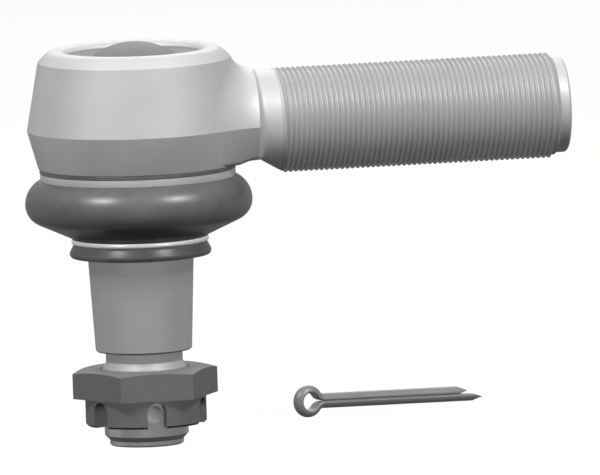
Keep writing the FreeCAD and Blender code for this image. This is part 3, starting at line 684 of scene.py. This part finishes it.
def forged_neck(sizes, shank):
    """Vertices and faces of the neck and the collar, from inside the barrel to the thread."""

    def collar_gap(x, y, z):
        return np.hypot(y, z) - shank.collar_radius

    def outer_gap(x, y, z):
        return neck_gap(sizes, x, y, z)

    columns = []
    for kind, side, place in neck_lines():
        lift = math.sin(place) if kind == "ray" else 0.0
        if kind == "ray":
            root = SIDE_ROOT + TOP_ROOT_RISE * lift * lift
        elif kind == "belly":
            root = LOW_ROOT + (BELLY_ROOT - LOW_ROOT) * (1 - place * place)
        else:
            root = SIDE_ROOT + (LOW_ROOT - SIDE_ROOT) * (place * place if kind == "wall" else 1.0)
        edge = sizes.edge_reach + sizes.edge_rise * lift
        run = sizes.flank_side + (sizes.flank_top - sizes.flank_side) * lift * lift
        x = np.concatenate([
            np.linspace(root, edge, NECK_RINGS),
            edge + run * np.linspace(0.0, 1.0, FLANK_RINGS)[1:],
            np.linspace(edge + run, shank.start, COLLAR_RINGS)[1:]])
        fall = np.clip(1 - (x - edge) / run, 0.0, 1.0) ** 2
        outer = line_points(sizes, outer_gap, x, kind, side, place)
        inner = line_points(sizes, collar_gap, x, kind, side, place)
        columns.append(np.vstack([x, inner + (outer - inner) * fall]).T)
    grid = np.array(columns).transpose(1, 0, 2)
    rings, count = grid.shape[:2]
    vertices = [tuple(point) for point in grid.reshape(-1, 3)]

    def band(first, second):
        return [(first + place, first + (place + 1) % count,
                 second + (place + 1) % count, second + place) for place in range(count)]

    faces = []
    for ring in range(rings - 1):
        faces += band(ring * count, (ring + 1) * count)
    faces.append(tuple(range((rings - 1) * count, rings * count)))

    # The root is closed by a curved wall inside the barrel.
    reach = np.hypot(grid[0, :, 0], grid[0, :, 1])
    foot = grid[0].copy()
    foot[:, :2] *= (np.minimum(CAP_RADIUS, reach) / reach)[:, None]
    before = 0
    for size in CAP_RINGS:
        start = len(vertices)
        y = foot[:, 1] * size
        x = np.sqrt(CAP_RADIUS * CAP_RADIUS - y * y)
        z = CAP_MIDDLE + (foot[:, 2] - CAP_MIDDLE) * size
        vertices += list(zip(x, y, z))
        faces += band(before, start)
        before = start
    vertices.append((CAP_RADIUS, 0.0, CAP_MIDDLE))
    faces += [(before + place, before + (place + 1) % count, len(vertices) - 1)
              for place in range(count)]
    return vertices, faces


def half_round(radius, edge):
    """Outline (depth, across) of half-round wire with rounded edges, its flat side at depth 0."""
    across = math.sqrt((radius - edge) ** 2 - edge * edge)
    tilt = math.degrees(math.atan2(edge, across))
    flat = [(0.0, place) for place in np.linspace(-across, across, 7)]
    near = [(x, y) for y, x in arc((across, edge), edge, -90.0, tilt, 4)[1:]]
    back = [(x, y) for y, x in arc((0.0, 0.0), radius, tilt, 180.0 - tilt, 22)[1:-1]]
    far = [(x, -y) for x, y in reversed(near)]
    return np.array(flat + near + back + far)


# Shares of the wire's depth and width that are left at the end of a leg, and the depth at which
# that end lies, as a share of the wire's radius
WEDGE_DEPTH = 0.12
WEDGE_WIDTH = 0.7
WEDGE_MIDDLE = 0.45


def bent_pin(sizes):
    """Vertices and faces of the split pin: half-round wire swept along legs, throat and eye."""
    drop = sizes.half_gap + sizes.throat
    bend = math.sqrt((sizes.eye + sizes.throat) ** 2 - drop * drop)
    lean = math.degrees(math.atan2(drop, bend))

    def leg(end):
        return [end, end - 0.5 * sizes.point, end - sizes.point,
                *np.linspace(end - sizes.point, bend, 12)[1:-1]]

    track = [(x, -sizes.half_gap) for x in leg(sizes.long_leg)]
    track += arc((bend, -drop), sizes.throat, 90.0, 180.0 - lean, 12)
    track += arc((0.0, 0.0), sizes.eye, -lean, lean - 360.0, 56)[1:]
    track += arc((bend, drop), sizes.throat, lean - 180.0, -90.0, 12)[1:]
    track += [(x, sizes.half_gap) for x in reversed(leg(sizes.short_leg))]
    track = np.array(track)
    along = np.gradient(track, axis=0)
    along /= np.hypot(*along.T)[:, None]
    out = np.vstack([-along[:, 1], along[:, 0]]).T

    run = np.concatenate([[0.0], np.cumsum(np.hypot(*np.diff(track, axis=0).T))])
    wedge = np.clip(np.minimum(run, run[-1] - run) / sizes.point, 0.0, 1.0)
    section = half_round(sizes.wire, sizes.edge)
    middle = WEDGE_MIDDLE * sizes.wire
    vertices = []
    for place, side, full in zip(track, out, wedge):
        for depth, across in section:
            depth = middle + (depth - middle) * (WEDGE_DEPTH + (1 - WEDGE_DEPTH) * full)
            spot = place + side * depth
            vertices.append((spot[0], across * (WEDGE_WIDTH + (1 - WEDGE_WIDTH) * full), spot[1]))
    count = len(section)
    faces = []
    for ring in range(len(track) - 1):
        first, second = ring * count, (ring + 1) * count
        faces += [(first + spot, first + (spot + 1) % count,
                   second + (spot + 1) % count, second + spot) for spot in range(count)]
    faces.append(tuple(range(count)))
    faces.append(tuple(range(len(vertices) - count, len(vertices))))
    height = CAD_BOX[0][2] + sizes.eye + sizes.wire
    pose = (Matrix.Translation((sizes.reach, sizes.offset, height))
            @ Matrix.Rotation(sizes.turn, 4, "Z") @ Matrix.Rotation(sizes.dip, 4, "Y"))
    return [tuple(pose @ Vector(vertex)) for vertex in vertices], faces


# Operators

class PieceOperator:
    """What the operators of this add-on share."""

    bl_options = {"REGISTER"}

    def execute(self, context):
        self.build(context.scene)
        return {"FINISHED"}


class BALLJOINT_OT_forging(PieceOperator, bpy.types.Operator):
    """Build the forged barrel and its neck, up to the start of the thread"""

    bl_idname = "balljoint.forging"
    bl_label = "Forged Housing"

    def build(self, scene):
        sizes = scene.joint_forging
        material = steel("forged steel", scene.joint_colours.forged)
        roll_centre = (sizes.roll_reach, sizes.rim_crest - sizes.roll)
        inner_centre = (sizes.inner_roll_reach, sizes.rim_crest - sizes.inner_roll)
        outline = rounded([
            (sizes.mouth_end_radius, sizes.spigot_end, 0.2 * MM),
            (sizes.spigot_radius, sizes.spigot_end, 0.3 * MM),
            (sizes.spigot_radius, sizes.base_height),
            (sizes.base_radius, sizes.base_height, 0.25 * MM),
            (sizes.parting_radius, sizes.parting_height),
            (sizes.rim_edge_radius, sizes.rim_edge_height),
            (sizes.rim_edge_radius - 0.2 * MM, sizes.rim_edge_height + 0.25 * MM),
            *arc(roll_centre, sizes.roll, 45.0, 90.0, 8),
            *arc(inner_centre, sizes.inner_roll, 86.0, 148.0, 9),
            (sizes.rim_opening, sizes.cover_height),
            (sizes.pocket_radius, sizes.cover_height),
            (sizes.pocket_radius, sizes.pocket_height),
            (sizes.bore_radius, sizes.pocket_height),
            (sizes.bore_radius, sizes.ledge_height),
            (sizes.mouth_radius, sizes.ledge_height)])
        for name, shape, sharp in (
                ("forged_barrel", turned(outline, segments=192), 20.0),
                ("forged_neck", forged_neck(sizes, scene.joint_shank), 16.0)):
            new_piece(name, *shape, material, "housing", "forged_steel", "housing", sharp)


class BALLJOINT_OT_thread(PieceOperator, bpy.types.Operator):
    """Build the shank's rolled thread and plain tip"""

    bl_idname = "balljoint.thread"
    bl_label = "Threaded Shank"

    def build(self, scene):
        colours, shank = scene.joint_colours, scene.joint_shank
        material = steel("rolled thread", colours.thread, roughness=0.49, grain_depth=0.002,
                         tip=(shank.thread_end, tuple(colours.forged)))
        new_piece("threaded_shank", *threaded(shank), material,
                  "housing", "forged_steel", "housing")


# The straight underside touches the bulge and its inside at the same angle
BOOT_UNDERSIDE = -65.2


class BALLJOINT_OT_boot(PieceOperator, bpy.types.Operator):
    """Build the dust boot in two pieces"""

    bl_idname = "balljoint.boot"
    bl_label = "Dust Boot"

    def build(self, scene):
        boot = scene.joint_boot
        material = rubber("boot rubber", scene.joint_colours.rubber)
        upper_centre = (boot.bulge_radius - boot.bulge_round, boot.bulge_height)
        lower_centre = (boot.bulge_radius - boot.lower_round, boot.bulge_height)
        upper_inner = boot.bulge_round - boot.wall
        lower_inner = boot.lower_round - boot.wall
        leave = BOOT_UNDERSIDE
        edge = 0.15 * MM

        def angle_at(height, radius):
            return math.degrees(math.asin((height - boot.bulge_height) / radius))

        shoulder = boot.groove_end - 1.6 * MM
        fold = boot.fold_height
        inner_fold = max(fold, boot.bulge_height - 0.8 * lower_inner)
        upper = rounded([
            (boot.collar_bore, boot.top, edge),
            (boot.collar_bore, boot.groove_end - 0.8 * MM),
            *arc(upper_centre, upper_inner, angle_at(shoulder, upper_inner), 0.0, 12),
            *arc(lower_centre, lower_inner, 0.0, angle_at(inner_fold, lower_inner), 8)[1:],
            *arc(lower_centre, boot.lower_round, angle_at(fold, boot.lower_round), 0.0, 10),
            *arc(upper_centre, boot.bulge_round, 0.0,
                 angle_at(boot.groove_end, boot.bulge_round), 24)[1:],
            (boot.groove_radius, boot.groove_end),
            (boot.groove_radius, boot.flange_end),
            (boot.flange_radius, boot.flange_end, edge),
            (boot.flange_radius, boot.top, edge)])
        lower = rounded([
            *arc(lower_centre, lower_inner, angle_at(inner_fold, lower_inner), leave, 6),
            (boot.lip_bore + 1.9 * MM, boot.foot_height + 1.3 * MM),
            (boot.lip_bore + 0.28 * MM, boot.foot_height - 0.3 * MM),
            (boot.lip_bore, boot.lip_end, edge),
            (boot.lip_radius - 0.55 * MM, boot.lip_end, 0.45 * MM),
            (boot.lip_radius, boot.lip_height, 0.9 * MM),
            (boot.lip_radius - 1.15 * MM, boot.waist_end - 0.3 * MM, 0.3 * MM),
            (boot.waist_radius, boot.waist_end),
            (boot.waist_radius, boot.waist_top),
            (boot.foot_radius - 0.2 * MM, boot.waist_top, edge),
            (boot.foot_radius, boot.foot_height, 1.2 * MM),
            *arc(lower_centre, boot.lower_round, leave, angle_at(fold, boot.lower_round), 12)])
        pieces = [
            ("boot_upper", upper, "housing", "boot", boot.groove_end, fold),
            ("boot_lower", lower, "boot", "boot_ring", fold, boot.foot_height)]
        for name, outline, above, below, start, end in pieces:
            piece = new_piece(name, *turned(outline), material, None, "boot_rubber", "dust_boot")
            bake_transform(piece)


class BALLJOINT_OT_cover(PieceOperator, bpy.types.Operator):
    """Give the closing cover and what lies under it their finishes"""

    bl_idname = "balljoint.cover"
    bl_label = "Cover, Spring and Seats"

    def build(self, scene):
        colours = scene.joint_colours
        finishes = {
            "closing_cover": steel("cover sheet", colours.cover, marks="Z"),
            "disc_spring": steel("spring sheet", colours.spring, roughness=0.35),
            "cover_seal_ring": rubber("seal rubber", colours.seal),
        }
        plastic = moulded("seat plastic", colours.plastic)
        finishes["upper_ball_seat"] = finishes["lower_ball_seat"] = plastic
        paint(finishes)


class BALLJOINT_OT_rings(PieceOperator, bpy.types.Operator):
    """Build the boot's upper clamp band and give the lower ring its finish"""

    bl_idname = "balljoint.rings"
    bl_label = "Clamp Rings"

    def build(self, scene):
        colours = scene.joint_colours
        boot = scene.joint_boot
        gap, edge = 0.05 * MM, 0.12 * MM
        inside = boot.groove_radius + gap
        above, below = boot.flange_end - gap, boot.groove_end + gap
        outline = rounded([
            (inside, above), (inside, below),
            (boot.band_radius, below, edge), (boot.band_radius, above, edge)])
        strip = steel("clamp strip", colours.band, roughness=0.40, marks="Z")
        new_piece("clamp_band", *turned(outline), strip,
                  "housing", "clamp_steel", "upper_clamp_ring")
        wire = steel("ring wire", colours.ring, roughness=0.3, metallic=0.2)
        paint({"lower_clamp_ring": wire})


class BALLJOINT_OT_stud(PieceOperator, bpy.types.Operator):
    """Give the ball stud and the castle nut their finishes and build the split pin"""

    bl_idname = "balljoint.stud"
    bl_label = "Stud, Nut and Split Pin"

    def build(self, scene):
        colours = scene.joint_colours
        paint({
            "ball_stud": steel("ground steel", colours.stud, roughness=0.50, metallic=0.18,
                               marks="Z"),
            "castle_nut": steel("phosphated steel", colours.nut, roughness=0.50, metallic=0.08,
                                grain_depth=0.005),
        })
        wire = steel("drawn wire", colours.pin, roughness=0.40, metallic=0.25)
        new_piece("bent_pin", *bent_pin(scene.joint_pin), wire,
                  "housing", "pin_steel", "split_pin")


def paint(finishes):
    """Give nodes of the frame their materials."""
    for node, material in finishes.items():
        NODES[node].data.materials.clear()
        NODES[node].data.materials.append(material)


# Turn from the camera and elevation in degrees, size, share of the lamp power and whether the
# lamp casts shadows. The light is soft: more than half of the front lamps' casts none.
LAMPS = {
    "lamp_left": (-47.5, 45.0, 0.28, 0.4, True),
    "lamp_right": (47.5, 45.0, 0.28, 0.4, True),
    "fill_left": (-47.5, 45.0, 0.28, 0.6, False),
    "fill_right": (47.5, 45.0, 0.28, 0.6, False),
    "lamp_back": (180.0, 33.0, 0.6, 0.4, True),
}
LAMP_TARGET = Vector((0.03, 0, -0.02))
LAMP_DISTANCE = 1.2
CAMERA_DISTANCE = 1.5
FLOOR_HALF = 6.0
# How much of the light the floor throws back: to the camera and to the part
FLOOR_SEEN = 0.09
FLOOR_BOUNCE = 0.02
# How much the room lights the part
ROOM_LIGHT = 0.01


def direction(azimuth, elevation):
    """From the object towards a camera or lamp there."""
    return Vector((math.sin(azimuth) * math.cos(elevation),
                   -math.cos(azimuth) * math.cos(elevation), math.sin(elevation)))


def lamp(name, azimuth, elevation, size, power):
    """A soft square lamp that shines on the part."""
    light = bpy.data.lights.new(name, "AREA")
    light.size = size
    light.energy = power
    piece = bpy.data.objects.new(name, light)
    towards = direction(math.radians(azimuth), math.radians(elevation))
    turn = towards.to_track_quat("Z", "Y").to_matrix().to_4x4()
    piece.matrix_world = Matrix.Translation(LAMP_TARGET + towards * LAMP_DISTANCE) @ turn
    bpy.context.scene.collection.objects.link(piece)
    return piece


class BALLJOINT_OT_stage(PieceOperator, bpy.types.Operator):
    """Set up the pale floor, the soft lamps and the camera"""

    bl_idname = "balljoint.stage"
    bl_label = "Floor, Lamps and Camera"

    def build(self, scene):
        stage = scene.joint_stage
        self.floor(stage)
        self.surroundings(scene)
        view = math.degrees(stage.azimuth)
        for name, (turn, elevation, size, power, shadow) in LAMPS.items():
            piece = lamp(name, view + turn, elevation, size, stage.lamp_power * power)
            piece.data.use_shadow = shadow
        self.camera(scene, stage)

    def floor(self, stage):
        half = FLOOR_HALF
        ground = CAD_BOX[0][2]
        mesh = bpy.data.meshes.new("floor")
        mesh.from_pydata([(-half, -half, ground), (half, -half, ground),
                          (half, half, ground), (-half, half, ground)], [], [(0, 1, 2, 3)])
        material = bpy.data.materials.new("pale floor")
        nodes = ShaderTree(material)
        lit, dim = (nodes.node("ShaderNodeBsdfDiffuse", {}, {"Color": (level, level, level, 1.0)})
                    for level in (FLOOR_SEEN, FLOOR_BOUNCE))
        glow = nodes.node("ShaderNodeEmission", {}, {
            "Color": (0.985, 1.0, 0.975, 1.0), "Strength": stage.floor_glow})
        pale = nodes.node("ShaderNodeAddShader", {}, {0: lit, 1: glow})
        nodes.end(nodes.node("ShaderNodeMixShader", {}, {0: nodes.seen(), 1: dim, 2: pale}))
        mesh.materials.append(material)
        floor = bpy.data.objects.new("floor", mesh)
        bpy.context.scene.collection.objects.link(floor)

    def surroundings(self, scene):
        world = bpy.data.worlds.new("pale room")
        nodes = ShaderTree(world)
        background = nodes.node("ShaderNodeBackground", {}, {
            "Color": (0.995, 1.0, 0.985, 1.0),
            "Strength": nodes.seen() * (1 - ROOM_LIGHT) + ROOM_LIGHT})
        nodes.end(background, "ShaderNodeOutputWorld")
        scene.world = world

    def camera(self, scene, stage):
        azimuth, elevation, roll = stage.azimuth, stage.elevation, stage.roll
        back = direction(azimuth, elevation)
        level = Vector((math.cos(azimuth), math.sin(azimuth), 0))
        upright = back.cross(level)
        right = level * math.cos(roll) - upright * math.sin(roll)
        up = level * math.sin(roll) + upright * math.cos(roll)
        data = bpy.data.cameras.new("camera")
        data.type = "ORTHO"
        data.ortho_scale = stage.frame_width
        data.clip_start = 0.01
        data.clip_end = 20.0
        camera = bpy.data.objects.new("camera", data)
        place = right * stage.aim_right + up * stage.aim_up + back * CAMERA_DISTANCE
        turn = Matrix((right, up, back)).transposed().to_4x4()
        camera.matrix_world = Matrix.Translation(place) @ turn
        scene.collection.objects.link(camera)
        scene.camera = camera


class BALLJOINT_PT_panel(bpy.types.Panel):
    """Lists the steps that build and dress the ball joint, and its sizes"""

    bl_idname = "BALLJOINT_PT_panel"
    bl_label = "Angle Ball Joint"
    bl_space_type = "VIEW_3D"
    bl_region_type = "UI"
    bl_category = "Ball Joint"

    def draw(self, context):
        for operator in OPERATORS:
            self.layout.operator(operator.bl_idname)
        for name in SETTINGS:
            group = getattr(context.scene, name)
            box = self.layout.box()
            for key in group.__annotations__:
                box.prop(group, key)


OPERATORS = (
    BALLJOINT_OT_forging, BALLJOINT_OT_thread, BALLJOINT_OT_boot, BALLJOINT_OT_cover,
    BALLJOINT_OT_rings, BALLJOINT_OT_stud, BALLJOINT_OT_stage)
SETTINGS = {
    "joint_forging": ForgingSizes, "joint_shank": ShankSizes, "joint_boot": BootSizes,
    "joint_pin": PinSizes, "joint_colours": FinishColours, "joint_stage": StageSettings}


def register():
    for group in SETTINGS.values():
        bpy.utils.register_class(group)
    for name, group in SETTINGS.items():
        setattr(bpy.types.Scene, name, bpy.props.PointerProperty(type=group))
    for operator in OPERATORS:
        bpy.utils.register_class(operator)
    bpy.utils.register_class(BALLJOINT_PT_panel)


def unregister():
    bpy.utils.unregister_class(BALLJOINT_PT_panel)
    for operator in reversed(OPERATORS):
        bpy.utils.unregister_class(operator)
    for name in SETTINGS:
        delattr(bpy.types.Scene, name)
    for group in SETTINGS.values():
        bpy.utils.unregister_class(group)


def main():
    register()
    bpy.context.scene.view_settings.view_transform = "Standard"
    bpy.ops.balljoint.forging()
    bpy.ops.balljoint.thread()
    bpy.ops.balljoint.boot()
    bpy.ops.balljoint.cover()
    bpy.ops.balljoint.rings()
    bpy.ops.balljoint.stud()
    bpy.ops.balljoint.stage()


if __name__ == "__main__":
    main()
